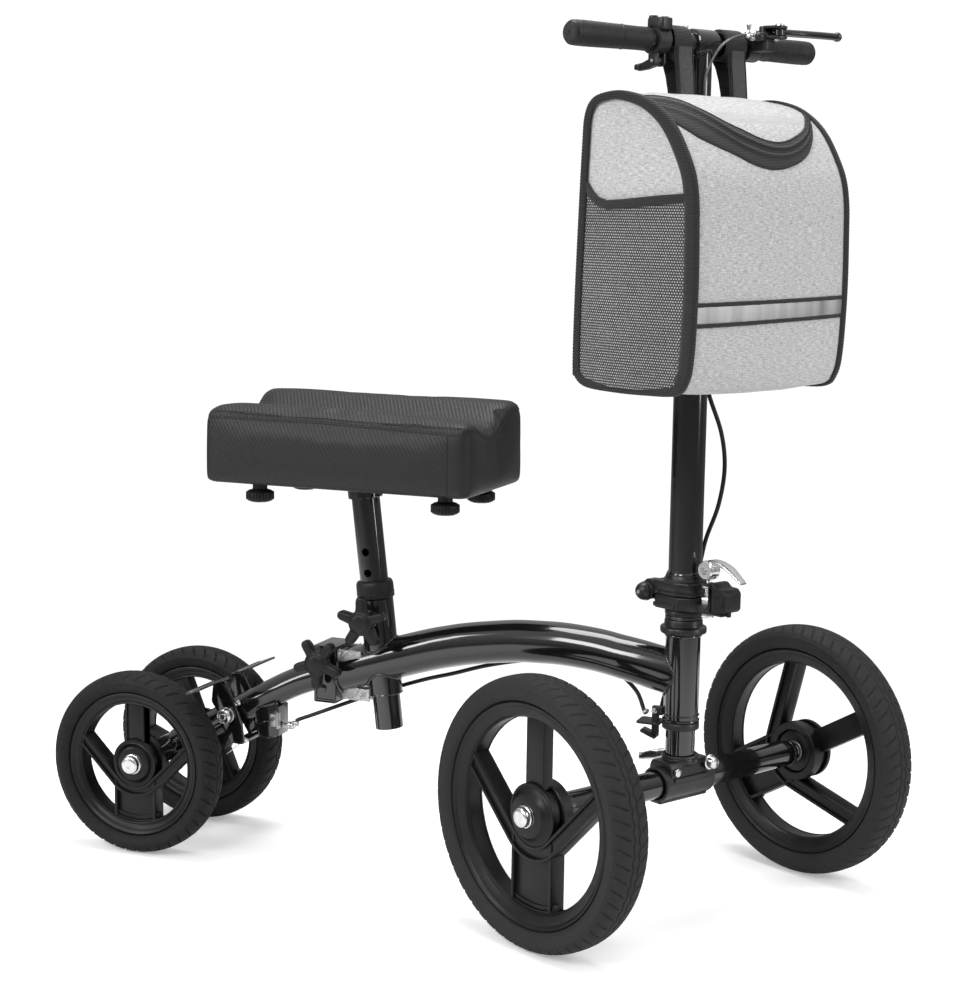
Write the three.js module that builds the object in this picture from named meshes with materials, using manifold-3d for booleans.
// Knee scooter: a steerable four-wheeled walker with a knee pad, a folding stem, a hand brake and a
// front bag. Millimetres, +Z up, +X forward, +Y to the rider's left.
// The origin is on the ground below the middle of the object's box. The parts are built about the
// steering axis and the whole is moved forward by STEER_AXIS_X. The steered parts are built straight
// ahead in their own group, which is turned to the right by STEER_DEG.
import * as THREE from "three";
import { mergeVertices } from "three/addons/utils/BufferGeometryUtils.js";
import Module from "manifold-3d";

const wasm = await Module();
wasm.setup();

// ---- driving dimensions ----
const STEER_AXIS_X = 272.39;
const STEER_DEG = 28;
const WHEELBASE = 673;
// halfTrack: wheel centre plane to scooter centre; lip: rim edge radius; hubHalf: half the hub width
const FRONT = {
  radius: 152.5, width: 50, lip: 125, hubR: 35, hubHalf: 19, halfTrack: 217.5, segs: 36,
};
const REAR = { radius: 114, width: 44, lip: 90, hubR: 30, hubHalf: 14, halfTrack: 79, segs: 32 };
const AXLE_R = 5.2;
const ARCH_R = 24.6; // arched main tube
const REAR_TUBE_R = 17.5;
const HEAD_R = 20, HEAD_BORE_R = 18.2, HEAD_Z0 = 222, HEAD_Z1 = 325;
const HEADSET_BORE_R = 17.8;
const STEERER_R = 17, STEERER_BORE_R = 14;
const AXLE_BOLT_Y = 28, AXLE_BOLT_Z = 173; // skewer of the front axle clamp, along X
const HINGE_X = -36, HINGE_Z = 371, HINGE_BORE_R = 4.6; // fold hinge axis, along Y
const LATCH_X = 37; // upright skewer of the fold joint
const STEM_R = 19, STEM_BORE_R = 15.5, STEM_Z0 = 394, STEM_Z1 = 800;
const COLLAR_BOLT_X = -31, COLLAR_BOLT_Z = 783; // bolt of the height clamp, along Y
const INNER_R = 12.7; // handlebar inner tube
const BAR_R = 11.1, BAR_Z = 982, BAR_RIGHT = -190, BAR_LEFT = 173;
const GRIP_R = 13.2, GRIP_RIGHT_LEN = 112, GRIP_LEFT_LEN = 88;
const GRIP_OVERHANG = 5; // grip end beyond the bar end
const POST_R = 17, POST_LEAN_DEG = 6.93; // the seat post leans back
const POST_X = -383.6, POST_Z = 314; // a point on the post axis
const SEAT_KNOB_X = POST_X + 0.4, SEAT_KNOB_Z = POST_Z - 4;
const FRAME_KNOB_X = -443, FRAME_KNOB_Z = 254;
const PAD_X0 = -570, PAD_X1 = -235, PAD_HALF_W = 90.5, PAD_Z0 = 477, PAD_Z1 = 562;
const PAD_CORNER_R = 12;
const BRAKE_X = -577, BRAKE_Z = 171; // rear brake pivot
const CABLE_R = 2.4;
const BAG = { x0: -28, x1: 143, yc: -30, halfW: 118, z0: 607, z1: 926 };
const BAG_CHANNEL = { halfW: 28, x1: 24 };

// ---- helpers: three.js geometry to closed solids, booleans, and back ----
function solid(geometry) {
  const loose = geometry.index ? geometry.toNonIndexed() : geometry;
  loose.deleteAttribute("normal");
  loose.deleteAttribute("uv");
  const merged = mergeVertices(loose, 1e-4);
  return new wasm.Manifold(
    new wasm.Mesh({
      numProp: 3,
      vertProperties: new Float32Array(merged.attributes.position.array),
      triVerts: new Uint32Array(merged.index.array),
    }),
  );
}
function geometryOf(body) {
  const mesh = body.getMesh();
  const indexed = new THREE.BufferGeometry();
  const positions = new Float32Array(mesh.vertProperties);
  indexed.setAttribute("position", new THREE.BufferAttribute(positions, 3));
  indexed.setIndex(new THREE.BufferAttribute(new Uint32Array(mesh.triVerts), 1));
  const geometry = indexed.toNonIndexed();
  geometry.computeVertexNormals();
  return geometry;
}
const union = (...bodies) => bodies.reduce((sum, body) => sum.add(body));
const cut = (body, ...tools) => tools.reduce((rest, tool) => rest.subtract(tool), body);
const moved = (body, x, y, z) => body.translate([x, y, z]);
const alongY = (body) => body.rotate([-90, 0, 0]); // +Z axis onto +Y
const alongX = (body) => body.rotate([0, 90, 0]); // +Z axis onto +X

// A turned body about +Z from [radius, z] points, going up the outside.
// Open profiles start and end on the axis; rings close on themselves.
function turned(profile, segs = 24, ring = false) {
  const points = profile.map(([radius, z]) => new THREE.Vector2(radius, z));
  if (ring) points.push(points[0].clone());
  return solid(new THREE.LatheGeometry(points, segs).rotateX(Math.PI / 2));
}
// A profile mirrored about z = 0, from its upper half.
const symmetric = (upper) => [...upper.map(([radius, z]) => [radius, -z]).reverse(), ...upper];
const cyl = (radius, z0, z1, segs) => turned([[0, z0], [radius, z0], [radius, z1], [0, z1]], segs);
const tube = (inner, outer, z0, z1, segs) =>
  turned([[inner, z0], [outer, z0], [outer, z1], [inner, z1]], segs, true);
// Cylinders along an axis, placed by the other two coordinates.
const pinX = (radius, x0, x1, y, z, segs) => moved(alongX(cyl(radius, x0, x1, segs)), 0, y, z);
const pinY = (radius, y0, y1, x, z, segs) => moved(alongY(cyl(radius, y0, y1, segs)), x, 0, z);
const pinZ = (radius, z0, z1, x, y, segs) => moved(cyl(radius, z0, z1, segs), x, y, 0);
const box = (x0, x1, y0, y1, z0, z1) =>
  moved(solid(new THREE.BoxGeometry(x1 - x0, y1 - y0, z1 - z0)),
    (x0 + x1) / 2, (y0 + y1) / 2, (z0 + z1) / 2);

const shapeOf = (points) => new THREE.Shape(points.map(([x, y]) => new THREE.Vector2(x, y)));
const extruded = (points, depth) =>
  new THREE.ExtrudeGeometry(shapeOf(points), { depth, bevelEnabled: false });
// Plates: an outline in the named plane, given thickness along the third axis.
const plateXZ = (points, y0, y1) =>
  solid(extruded(points, y1 - y0).rotateX(Math.PI / 2).translate(0, y1, 0));
const plateXY = (points, z0, z1) => solid(extruded(points, z1 - z0).translate(0, 0, z0));
const plateYZ = (points, x0, x1) =>
  solid(extruded(points, x1 - x0).rotateX(Math.PI / 2).rotateZ(Math.PI / 2).translate(x0, 0, 0));
// The same part on the right and on the left, from y = near to y = far.
const bothSides = (near, far, make) => union(make(-far, -near), make(near, far));

// Points round the origin at a radius that depends on the angle.
const polar = (count, radiusAt) =>
  Array.from({ length: count }, (_, i) => {
    const angle = (i / count) * 2 * Math.PI;
    const radius = radiusAt(angle);
    return [radius * Math.cos(angle), radius * Math.sin(angle)];
  });
// A round bar along a smooth path.
function rod(points, radius, steps, segs) {
  const vectors = points.map((point) => new THREE.Vector3(...point));
  const extrudePath = new THREE.CatmullRomCurve3(vectors, false, "centripetal");
  const circle = shapeOf(polar(segs, () => radius));
  return solid(new THREE.ExtrudeGeometry(circle, { steps, extrudePath, bevelEnabled: false }));
}

// ---- materials ----
const standard = (look) => new THREE.MeshStandardMaterial(look);
const GLOSS = standard({ color: 0x0c0c0d, roughness: 0.18, metalness: 0.3 });
const CAST = standard({ color: 0x141415, roughness: 0.4, metalness: 0.3 });
const PLASTIC = standard({ color: 0x1a1a1b, roughness: 0.5, metalness: 0 });
const RIM = standard({ color: 0x131314, roughness: 0.42, metalness: 0 });
const TYRE = standard({ color: 0x242425, roughness: 0.85, metalness: 0 });
const RUBBER = standard({ color: 0x171718, roughness: 0.7, metalness: 0 });
const STEEL = standard({ color: 0xb9babc, roughness: 0.25, metalness: 1 });
const VINYL = standard({ color: 0x202022, roughness: 0.55, metalness: 0 });
const FABRIC = standard({ color: 0xb4b4b4, roughness: 0.95, metalness: 0 });
const STRAP = standard({ color: 0x151515, roughness: 0.9, metalness: 0 });

// ---- groups ----
const scooter = new THREE.Group();
scooter.position.x = STEER_AXIS_X;
const steered = new THREE.Group();
steered.rotation.z = (-STEER_DEG * Math.PI) / 180;
scooter.add(steered);
const seatGroup = new THREE.Group(); // its Z axis is the leaning seat post
seatGroup.position.set(POST_X, 0, POST_Z);
seatGroup.rotation.y = (-POST_LEAN_DEG * Math.PI) / 180;
scooter.add(seatGroup);

function add(parent, name, body, material) {
  const mesh = new THREE.Mesh(geometryOf(body), material);
  mesh.name = name;
  parent.add(mesh);
}
// From the seat post's frame to the scooter's.
const onPost = (body) => moved(body.rotate([0, -POST_LEAN_DEG, 0]), POST_X, 0, POST_Z);
// From the handlebar axis to the steered group.
const onBar = (body) => moved(body, 0, 0, BAR_Z);

// ---- main frame: arched tube, head tube, seat receiver and rear box clamp, welded ----
const ARCH_PATH = [ // x, y, z
  [-10, 0, 280], [-50, 0, 286.5], [-99, 0, 294], [-149, 0, 298], [-199, 0, 296.2],
  [-250, 0, 289.3], [-300, 0, 278.3], [-345, 0, 265.5], [-385, 0, 253], [-413, 0, 244],
  [-434, 0, 237.4],
];
function mainFrame() {
  const arch = rod(ARCH_PATH, ARCH_R, 22, 20);
  const head = cyl(HEAD_R, HEAD_Z0, HEAD_Z1, 28);
  const receiver = onPost(cyl(20.6, -100, 18));
  const lug = pinY(8, -30, -19, SEAT_KNOB_X, SEAT_KNOB_Z, 14);
  // box-shaped clamp on the rear end of the arch, open to the front and the rear
  const clamp = cut(box(-457, -430, -25, 25, 201, 271.5), box(-460, -425, -22, 22, 204, 268.5));
  const welds = cut(
    union(box(-431, -397, -7, 7, 262, 272.5), box(-431, -393, -6, 6, 206, 224)),
    onPost(cyl(19, -130, 30)),
  );
  const rearSocket = rod([[-350, 0, 264], [-385, 0, 253], [-420, 0, 241.5], [-440, 0, 235]],
    19, 6, 20);
  return cut(
    union(arch, head, receiver, lug, clamp, welds),
    rearSocket,
    cyl(HEAD_BORE_R, 200, 340, 28),
    onPost(cyl(POST_R + 0.6, -130, 30)),
    pinY(5.2, -60, 0, SEAT_KNOB_X, SEAT_KNOB_Z, 12),
    pinY(5.2, -30, -10, FRAME_KNOB_X, FRAME_KNOB_Z, 12),
  );
}
add(scooter, "main_frame", mainFrame(), GLOSS);

// ---- rear frame section: curved tube that plugs into the arch, cross axle tube, cable stop ----
const REAR_TUBE_PATH = [ // x, y, z
  [-405, 0, 246.4], [-430, 0, 238.5], [-455, 0, 229.5], [-490, 0, 214.5],
  [-525, 0, 197], [-577, 0, 168], [-625, 0, 141], [-668, 0, 117],
];
function rearFrame() {
  const stop = plateXZ(
    [[-512, 182], [-512, 152], [-516, 146], [-538, 144], [-545, 158], [-540, 186]], -14, 14);
  return cut(
    union(
      rod(REAR_TUBE_PATH, REAR_TUBE_R, 18, 18),
      pinY(16, -52, 52, -WHEELBASE, REAR.radius, 20),
      stop,
    ),
    pinY(6, -70, 70, -WHEELBASE, REAR.radius, 14), // axle bore
    pinY(5.4, -40, 40, BRAKE_X, BRAKE_Z, 12), // brake pivot bore
    box(-555, -519, -10, 10, 130, 172), // hollow of the cable stop, open below and to the rear
    pinX(3.6, -528, -500, 0, 160, 10), // cable hole
  );
}
add(scooter, "rear_frame", rearFrame(), GLOSS);

// ---- headset ----
add(scooter, "headset_upper", turned([
  [21, 325.3], [26.5, 327], [26.5, 333], [22, 336], [21, 342],
  [HEADSET_BORE_R, 342], [HEADSET_BORE_R, 325.3],
], 28, true), CAST);
add(scooter, "headset_lower", tube(HEADSET_BORE_R, 21.2, 213.5, 221.7, 28), CAST);

// ---- brake cable guide behind the head tube, the cable along the frame and its adjuster ----
add(scooter, "cable_guide", union(
  box(-34, -20.3, -4, 4, 226, 236),
  box(-50, -22, -13, 13, 216, 219),
  box(-34, -26, -3, 3, 203, 228),
  plateXZ([[-46, 205.5], [-46, 208.5], [-34, 204], [-27, 200], [-34, 199.5]], -9, 9),
), CAST);
const FRAME_CABLE_PATH = [ // x, y, z
  [-48, 17, 222], [-66, 33, 245], [-100, 33, 268], [-150, 31, 272], [-200, 30, 267],
  [-250, 27, 256], [-292, 22, 243], [-330, 22.6, 231.5], [-380, 25.5, 213],
  [-425, 18, 195.5], [-470, 6, 177], [-495, 0.5, 167],
];
add(scooter, "brake_cable_frame", rod(FRAME_CABLE_PATH, CABLE_R, 30, 8), RUBBER);
const adjuster = union(cyl(3.2, -10, 10, 10), cyl(5, 1, 8, 6));
add(scooter, "cable_adjuster", moved(alongX(adjuster), -505.5, 0, 160), STEEL);

// ---- rear brake: pivot bolt, spring and yoke with two tyre flanges ----
const onBrakePivot = (body) => moved(alongY(body), BRAKE_X, 0, BRAKE_Z);
add(scooter, "brake_pivot_bolt", onBrakePivot(turned([
  [0, -37], [5, -36], [9, -33.5], [9, -29], [5, -29], [5, 29], [9, 29], [9, 34], [0, 34],
], 12)), STEEL);
// return spring round the bolt, between the tube and the left plate
add(scooter, "brake_spring", onBrakePivot(tube(6.4, 9.6, 18.2, 21.4, 14)), STEEL);

const YOKE_SIDE = [ // x, z
  [-597, 213], [-581, 213.5], [-566, 186], [-556, 155], [-554, 142],
  [-572, 134], [-583, 152], [-590, 172], [-598, 196],
];
const yokeFlange = (y0, y1) =>
  moved(box(-11, 11, y0, y1, -1.5, 1.5).rotate([0, -18, 0]), -587.5, 0, 213.5);
add(scooter, "brake_yoke", cut(
  union(
    bothSides(22, 25, (y0, y1) => plateXZ(YOKE_SIDE, y0, y1)),
    box(-571, -557, -23, 23, 134.5, 139),
    bothSides(22.5, 100, yokeFlange),
  ),
  pinY(5.5, -40, 40, BRAKE_X, BRAKE_Z, 14),
), GLOSS);

// ---- wheels, built about +Z ----
// Tyres and rims are many-sided; a flat side, not a corner, is at the bottom and touches the ground.
const flatDown = (body, segs) => body.rotate([0, 0, 180 / segs]);

function tyre({ radius, width, lip, segs }) {
  const half = width / 2;
  const cornerR = radius / Math.cos(Math.PI / segs); // so that the flats lie at radius
  return flatDown(turned(symmetric([
    [cornerR, half - 15], [cornerR - 5, half - 4], [cornerR - 14, half],
    [lip + 3, half - 3], [lip + 0.4, half - 9.4], [lip - 6.6, half - 9.9],
  ]), segs, true), segs);
}

// V-shaped rib outline: it hugs the hub and runs towards -X as two arms at 45 degrees.
function veeOutline(innerR, outerR, reach) {
  const diagonal = Math.SQRT1_2;
  const noseAngle = 0.26; // radians either side of +X
  const edge = (radius) => {
    const arm = Math.sqrt(reach * reach - radius * radius) * diagonal;
    const bend = radius * diagonal;
    const noseX = radius * Math.cos(noseAngle);
    const noseY = radius * Math.sin(noseAngle);
    return [
      [bend - arm, -bend - arm], [bend, -bend], [noseX, -noseY],
      [noseX, noseY], [bend, bend], [bend - arm, bend + arm],
    ];
  };
  return [...edge(outerR), ...edge(innerR).reverse()];
}

function rim({ width, lip, hubR, hubHalf, segs }, spokeDeg) {
  const half = width / 2;
  const barrel = turned(symmetric([
    [lip - 7, half - 9.5], [lip, half - 9], [lip, half - 8],
    [lip - 1, half - 6.5], [lip - 15, half - 10],
  ]), segs, true);
  const hub = turned(symmetric([[hubR, 9], [hubR * 0.68, hubHalf], [0, hubHalf]]));
  const reach = lip - 12;
  const wideSpoke = box(hubR - 8, reach, -hubR * 0.93, hubR * 0.93, -10, 10);
  const rib = plateXY(veeOutline(hubR - 0.3, hubR + 16.5, reach), -11, 11);
  const thinSpoke = box(-reach, -hubR + 8, -14, 14, -7, 7);
  return cut(
    union(flatDown(barrel, segs), hub, wideSpoke, rib, thinSpoke),
    cyl(13.2, -hubHalf - 1, -hubHalf + 9.3, 20), // bearing seats
    cyl(13.2, hubHalf - 9.3, hubHalf + 1, 20),
    cyl(9.2, -hubHalf + 9, hubHalf - 9, 16),
  ).rotate([0, 0, spokeDeg]);
}

// two ball bearings joined by their spacer sleeve
const bearings = ({ hubHalf }) => union(
  tube(5.6, 13, -hubHalf + 0.4, -hubHalf + 9, 20),
  tube(5.6, 13, hubHalf - 9, hubHalf - 0.4, 20),
  tube(5.6, 8.6, -hubHalf + 8.5, hubHalf - 8.5, 20),
);

function addWheel(parent, name, spec, x, side, spokeDeg) {
  const group = new THREE.Group();
  group.position.set(x, side * spec.halfTrack, spec.radius);
  group.rotation.x = Math.PI / 2; // wheel axis onto -Y, wheel +Y onto +Z
  parent.add(group);
  add(group, name + "_tyre", tyre(spec), TYRE);
  add(group, name + "_rim", rim(spec, spokeDeg), RIM);
  add(group, name + "_bearings", bearings(spec), STEEL);
}
addWheel(steered, "front_wheel_right", FRONT, 0, -1, 270);
addWheel(steered, "front_wheel_left", FRONT, 0, 1, 210);
addWheel(scooter, "rear_wheel_right", REAR, -WHEELBASE, -1, 270);
addWheel(scooter, "rear_wheel_left", REAR, -WHEELBASE, 1, 292.5);

// through axle with domed nuts, and spacers inboard of the hubs
function axleRod({ halfTrack, hubHalf, radius }, x) {
  const nutR = 11.5, spacerR = 8.5;
  const hubInner = halfTrack - hubHalf - 0.5;
  const end = halfTrack + hubHalf + 7;
  const profile = symmetric([
    [AXLE_R, hubInner - 5], [spacerR, hubInner - 5],
    [spacerR, hubInner + 0.2], [AXLE_R, hubInner + 0.2],
    [AXLE_R, end - 6.5], [nutR, end - 6.5], [nutR, end - 1.5], [nutR * 0.6, end + 2.4], [0, end + 3],
  ]);
  return moved(alongY(turned(profile, 16)), x, 0, radius);
}
add(steered, "front_axle_rod", axleRod(FRONT, 0), STEEL);
add(scooter, "rear_axle_rod", axleRod(REAR, -WHEELBASE), STEEL);

// ---- front axle cross tube with coned ends ----
const axleTube = turned(symmetric([[16, 176], [15, 192], [9.4, 192]]), 24, true);
add(steered, "front_axle_tube", moved(alongY(axleTube), 0, 0, FRONT.radius), GLOSS);

// ---- clamp block under the steerer that grips the front axle ----
const AXLE_CLAMP_SIDE = [ // x, z
  [-20, 137], [-17, 133.5], [17, 133.5], [20, 137],
  [20, 172], [16, 177.5], [-16, 177.5], [-20, 172],
];
add(steered, "axle_clamp", cut(
  union(plateXZ(AXLE_CLAMP_SIDE, -40, 40), cyl(19.6, 176, 182)),
  pinY(16.4, -60, 60, 0, FRONT.radius, 28),
  box(-30, -15, -50, 50, 150, 154), // the split of the clamp
  pinX(3, -40, 40, AXLE_BOLT_Y, AXLE_BOLT_Z, 10),
), CAST);
const axleSkewer = turned([[0, -26.5], [2.6, -26.5], [2.6, 21], [7.5, 21], [7.5, 28], [0, 29]], 10);
add(steered, "axle_skewer", moved(alongX(axleSkewer), 0, AXLE_BOLT_Y, AXLE_BOLT_Z), STEEL);
const axleLever = union(
  cyl(8, -6, 6, 14),
  plateXY([[-6, -5], [-3, -5], [-5, -42], [-9, -47], [-13, -42], [-8, -5]], -5, 5),
);
add(steered, "axle_lever", moved(axleLever, -35.5, AXLE_BOLT_Y, AXLE_BOLT_Z), STEEL);

// ---- steerer and locknut ----
add(steered, "steerer_tube", tube(STEERER_BORE_R, STEERER_R, 182.4, 353.6, 28), GLOSS);
add(steered, "steering_locknut", turned([
  [HEADSET_BORE_R, 342.5], [20.5, 342.5], [21, 345], [21, 351],
  [20.5, 353.4], [HEADSET_BORE_R, 353.4],
], 28, true), CAST);

// ---- fold joint: lower casting with a rear hinge ear and a front lug for the latch skewer ----
const FOLD_BASE_PLAN = [ // x, y
  [-24.5, -24], [14, -24], [26, -15], [28, -9], [28, 9], [26, 15], [14, 24], [-24.5, 24],
];
const FOLD_BASE_EAR = [ // x, z
  [-46, 366], [-42, 361], [-25, 355], [-20, 355], [-20, 369.6],
  [-25, 369.6], [-29, 376], [-34, 380.5], [-40, 380.5], [-45, 376],
];
const hingeBore = pinY(HINGE_BORE_R, -40, 40, HINGE_X, HINGE_Z, 14);
add(steered, "fold_base", cut(
  union(
    plateXY(FOLD_BASE_PLAN, 354, 369.6),
    box(26, 44, -9, 9, 355, 363.5),
    box(24, 64, -7, 7, 353.8, 356.5),
    plateXZ(FOLD_BASE_EAR, -11, 11),
  ),
  hingeBore,
  pinZ(3.4, 340, 400, LATCH_X, 0, 12),
), CAST);
add(steered, "hinge_pin", moved(alongY(turned([
  [0, -37.5], [5, -36.5], [9.6, -32], [10.6, -27.6], [4.2, -27.6],
  [4.2, 27.6], [10.6, 27.6], [9.6, 32], [0, 34],
], 16)), HINGE_X, 0, HINGE_Z), CAST);
add(steered, "latch_skewer", moved(union(
  cyl(2.9, 348, 391.4, 10),
  cyl(7.5, 364, 372, 6), // nut
  cyl(8.2, 383, 385.5, 14), // washer
  tube(2.5, 4.6, 371.5, 383.5, 12), // spring
), LATCH_X, 0, 0), STEEL);
const FOLD_LEVER_SIDE = [ // x, z
  [40, 412.5], [54, 414], [70, 410.5], [84, 402], [90, 395.5],
  [88, 393.8], [82, 396], [68, 403], [54, 406.5], [42, 404],
];
add(steered, "fold_lever", union(
  pinY(11, -7.5, 7.5, LATCH_X, 403, 18),
  plateXZ(FOLD_LEVER_SIDE, -6.5, 6.5),
), STEEL);
const CATCH_SIDE = [ // x, z
  [48, 358], [72, 359.5], [74.5, 363], [74.5, 381],
  [71, 385.5], [60, 386], [54, 390], [48, 391],
];
add(steered, "safety_catch", cut(
  union(plateXZ(CATCH_SIDE, -13, 13), pinZ(2.6, 354.5, 360, 68, 0, 8)),
  box(40, 52.5, -9.5, 9.5, 350, 395), // hollow towards the skewer
), CAST);

// ---- stem: upper hinge casting, outer tube, height clamp ----
const FOLD_HEAD_PLAN = [ // x, y
  [-27, -25], [10, -25], [24, -17], [26.5, -9], [26.5, 9], [24, 17], [10, 25], [-27, 25],
];
const FOLD_HEAD_EAR = [ // x, z
  [-46, 367], [-40, 361], [-33, 361], [-28, 370.4],
  [-20, 371], [-20, 386], [-36, 384], [-45, 376],
];
add(steered, "fold_head", cut(
  union(
    plateXY(FOLD_HEAD_PLAN, 370.2, 386),
    bothSides(11.5, 24.5, (y0, y1) => plateXZ(FOLD_HEAD_EAR, y0, y1)),
    turned([[0, 384], [24, 384], [24, 386], [21.5, 393.6], [0, 393.6]]),
  ),
  box(-60, -23.5, -11.4, 11.4, 350, 383.5), // room for the lower casting's ear
  hingeBore,
), CAST);
add(steered, "stem_tube", tube(STEM_BORE_R, STEM_R, STEM_Z0, STEM_Z1, 28), GLOSS);

function heightClamp() {
  const collar = cut(
    union(
      tube(19.4, 23.6, 768, 798),
      box(-40, -19, -9, 9, 772, 794),
      tube(13.2, 23.6, 800.4, 806),
      tube(19.4, 23.6, 797, 801.5),
    ),
    cyl(19.4, 760, 800.4),
    box(-60, -18, -1.2, 1.2, 760, 800), // the split of the collar
    pinY(3.2, -30, 30, COLLAR_BOLT_X, COLLAR_BOLT_Z, 10),
  );
  const bolt = turned([[0, -15], [6, -15], [6, -8.5], [3, -8.5], [3, 9.7], [0, 9.7]], 10);
  return collar.add(moved(alongY(bolt), COLLAR_BOLT_X, 0, COLLAR_BOLT_Z));
}
add(steered, "height_clamp", heightClamp(), CAST);
const heightLever = union(
  pinZ(7.5, -7, 7, 0, 17.5, 14),
  plateXY([
    [2, 22], [-3, 25], [-34, 23.4], [-40, 20.6], [-40, 18.4], [-30, 17.6], [-6, 14],
  ], -6, 6),
);
add(steered, "height_lever", moved(heightLever, COLLAR_BOLT_X, 0, COLLAR_BOLT_Z), STEEL);
const STEM_CABLE_PATH = [ // x, y, z
  [-4, 22.6, 650], [-2, 22.8, 618], [4, 28, 592], [11, 41, 552],
  [13, 46, 512], [10, 41, 470], [3, 30, 432], [0, 24.5, 404],
];
add(steered, "brake_cable_stem", rod(STEM_CABLE_PATH, CABLE_R, 20, 8), RUBBER);

// ---- handlebar and grips ----
add(steered, "handlebar", union(
  cyl(INNER_R, 560, BAR_Z),
  pinY(BAR_R, BAR_RIGHT, BAR_LEFT, 0, BAR_Z, 20),
  pinY(15.5, -16, 16, 0, BAR_Z, 20),
), GLOSS);
// A grip from y = 0 to its closed outer end at y = length.
const grip = (length) => alongY(cut(
  turned([
    [0, 0], [GRIP_R, 0], [GRIP_R - 0.6, 26], [GRIP_R - 0.2, 60],
    [GRIP_R, length - 4], [GRIP_R - 2.4, length], [0, length],
  ], 20),
  cyl(BAR_R + 0.35, -5, length - 4, 20),
));
const gripLeftY = BAR_LEFT + GRIP_OVERHANG - GRIP_LEFT_LEN;
const gripRightY = BAR_RIGHT - GRIP_OVERHANG + GRIP_RIGHT_LEN;
add(steered, "grip_left", moved(grip(GRIP_LEFT_LEN), 0, gripLeftY, BAR_Z), RUBBER);
add(steered, "grip_right",
  moved(grip(GRIP_RIGHT_LEN).rotate([0, 0, 180]), 0, gripRightY, BAR_Z), RUBBER);

// ---- brake perch on the rider's left: band round the bar, body ahead of it, pivot plates ----
const PERCH_PLATE = [[28, 66], [46, 70], [50, 80], [46, 90], [30, 86]]; // x, y
add(steered, "brake_perch", onBar(cut(
  union(
    pinY(15.5, 66, 86, 0, 0, 20),
    box(4, 34, 66, 84, -6, 16),
    plateXY(PERCH_PLATE, 8, 11),
    plateXY(PERCH_PLATE, 19, 22),
    box(24, 31, 66, 84, 8, 22),
    pinZ(2, 16, 34, 14, 72, 8),
  ),
  pinY(11.5, 60, 95, 0, 0),
)), CAST);
const BRAKE_LEVER_PLAN = [ // x, y
  [40, 76], [46.5, 78], [50, 90], [50, 108], [53, 134], [56, 159], [56, 165],
  [48, 165], [47, 150], [45, 126], [41.5, 108], [38.6, 96], [37.4, 84],
];
add(steered, "brake_lever", onBar(union(
  pinZ(5.5, 11.6, 18.4, 42, 80, 14),
  plateXY(BRAKE_LEVER_PLAN, 11.6, 18.4),
  pinZ(5.6, 10, 20, 52, 165, 12),
)), GLOSS);

// ---- small clamp on the rider's right that holds the parking lock lever ----
const LOCK_X = 1, LOCK_DROP = 22; // lever pivot, below the bar axis
add(steered, "lock_clamp", onBar(cut(
  union(
    pinY(15.5, -77, -59, 0, 0, 20),
    box(-8, 16, -77, -59, 10, 23),
    box(-6, 8, -75, -71.6, -28, -12),
    box(-6, 8, -64.4, -61, -28, -12),
    box(-9, 9, -61, -57.5, 10.9, 15),
  ),
  pinY(11.5, -95, -40, 0, 0),
  pinY(2.4, -84, -49, LOCK_X, -LOCK_DROP, 10),
)), CAST);
add(steered, "lock_lever", moved(union(
  pinY(2, -76, -60, 0, 0, 8),
  pinY(5, -71, -65, 0, 0, 12),
  plateXZ([[-3, 4], [4, -1], [2, -5], [-26, -9], [-31, -6], [-30, -2]], -71, -65),
), LOCK_X, 0, BAR_Z - LOCK_DROP), CAST);

// ---- bag with a channel at the back for the stem, and its two straps ----
function bag() {
  const { x0, x1, yc, halfW, z0, z1 } = BAG;
  const side = [ // x, z
    [x0 + 8, z0 + 14], [x0 + 24, z0 + 4], [x0 + 60, z0], [x1 - 22, z0], [x1 - 4, z0 + 8],
    [x1, z0 + 40], [x1 + 3, z0 + 110], [x1 + 2, z0 + 200], [x1 - 8, z0 + 240],
    [x1 - 30, z0 + 275], [x1 - 60, z0 + 302], [x1 - 95, z1 - 3], [x1 - 120, z1],
    [x0 + 30, z1 - 8], [x0 + 14, z1 - 26], [x0 + 8, z1 - 60], [x0 + 2, z0 + 120], [x0, z0 + 40],
  ];
  const { halfW: channel, x1: channelFront } = BAG_CHANNEL;
  return cut(
    plateXZ(side, yc - halfW, yc + halfW),
    box(x0 - 40, channelFront, -channel, channel, z0 - 10, z1 + 10),
  );
}
add(steered, "bag", bag(), FABRIC);

// a flat webbing loop over the bar with its tail down to the bag
function strap(y) {
  const halfW = 19;
  const loop = tube(BAR_R + 4.2, BAR_R + 7, -halfW, halfW, 20);
  const tail = [ // x, z
    [12.6, BAR_Z], [17.9, BAR_Z], [34, 940], [34, 927.4], [28, 927.4], [28, 938],
  ];
  return union(moved(alongY(loop), 0, y, BAR_Z), plateXZ(tail, y - halfW, y + halfW));
}
add(steered, "strap_right", strap(-38), STRAP);
add(steered, "strap_left", strap(42), STRAP);

// ---- seat: collar, post, pad board, knee pad, four screws ----
add(seatGroup, "seat_collar", turned([
  [17.5, 18.4], [23, 18.4], [23, 38], [21.6, 40.5], [17.5, 40.5],
], 24, true), PLASTIC);
const POST_HOLES_Z = [-4, 52, 77.4]; // on the right side, in the post's frame
add(seatGroup, "seat_post", cut(
  tube(14.6, POST_R, -142, 154),
  ...POST_HOLES_Z.map((z) => pinY(4.6, -30, 0, 0, z, 10)),
), GLOSS);

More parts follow.
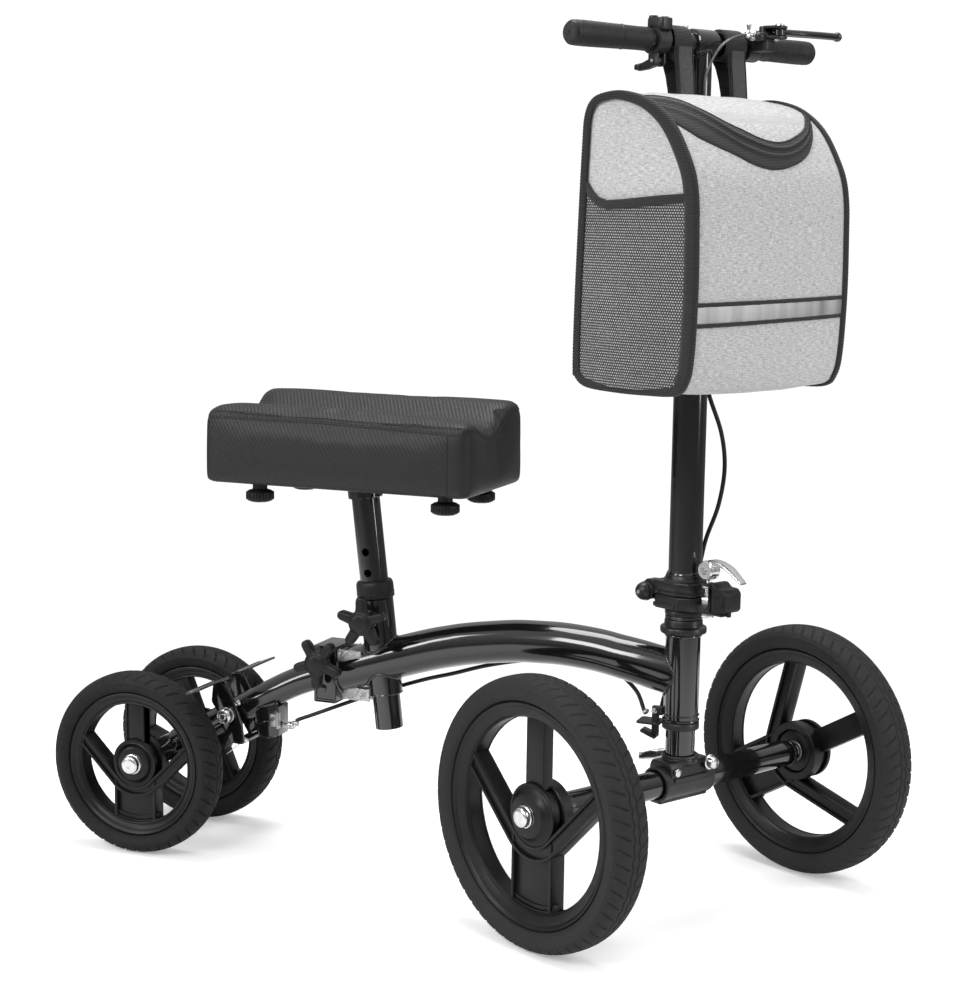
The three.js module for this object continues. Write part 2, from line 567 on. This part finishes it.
const PAD_SCREWS = [ // place, x, y
  ["rear_right", -512, -60], ["rear_left", -512, 60],
  ["front_right", -273, -56], ["front_left", -273, 56],
];
function padBoard() {
  // short socket under the board that the post is pressed into
  const socket = onPost(cyl(20.5, 141, 161)).intersect(box(-460, -340, -40, 40, 400, 474));
  return cut(
    union(box(-545, -262, -70, 70, 472, 476.4), socket),
    onPost(cyl(POST_R + 0.3, 120, 154.4)),
    ...PAD_SCREWS.map(([, x, y]) => pinZ(4.5, 460, 490, x, y, 10)),
  );
}
add(scooter, "pad_board", padBoard(), PLASTIC);

// trough-shaped cushion: flat below, two long bolsters above
const PAD_SECTION = [ // y, z
  [-110, 440], [110, 440], [110, 548], [84, 556], [62, 562], [44, 557], [22, 548],
  [0, 545], [-22, 548], [-44, 557], [-62, 562], [-84, 556], [-110, 548],
];
function kneePad() {
  const front = PAD_X1 - PAD_CORNER_R;
  const rear = PAD_X0 + PAD_CORNER_R;
  const side = PAD_HALF_W - PAD_CORNER_R;
  const corners = [[front, side], [rear, side], [rear, -side], [front, -side]];
  const outline = corners.flatMap(([x, y], quarter) =>
    [0, 1, 2, 3, 4].map((i) => {
      const angle = (quarter + i / 4) * (Math.PI / 2);
      return [x + PAD_CORNER_R * Math.cos(angle), y + PAD_CORNER_R * Math.sin(angle)];
    }));
  return plateXY(outline, PAD_Z0, PAD_Z1).intersect(plateYZ(PAD_SECTION, -640, -180));
}
add(scooter, "knee_pad", kneePad(), VINYL);

for (const [place, x, y] of PAD_SCREWS) {
  const head = turned([
    [0, 450], [14, 450], [16.5, 453], [16.5, 462], [9, 464.5], [9, 471.4], [0, 471.4],
  ], 16);
  const shank = cyl(3.8, 470, 476.2, 10);
  add(scooter, "pad_screw_" + place, moved(union(head, shank), x, y, 0), PLASTIC);
}

// ---- star knobs: five lobes on a boss, face towards -Y, with a stud into the frame ----
const starKnob = (stud) => union(
  plateXY(polar(30, (angle) => 22 + 9.5 * Math.cos(5 * angle)), 0, 13),
  cyl(10, -9, 0.5, 16),
  cyl(12, 12.5, 16, 16),
  cyl(3.8, -9 - stud, -8, 10),
).rotate([90, 0, 0]);
// this stud stops just short of the post
add(scooter, "seat_knob", moved(starKnob(12.3), SEAT_KNOB_X, -39.5, SEAT_KNOB_Z), PLASTIC);
add(scooter, "frame_knob",
  moved(starKnob(7).rotate([0, 20, 0]), FRAME_KNOB_X, -36.6, FRAME_KNOB_Z), PLASTIC);

export default scooter;
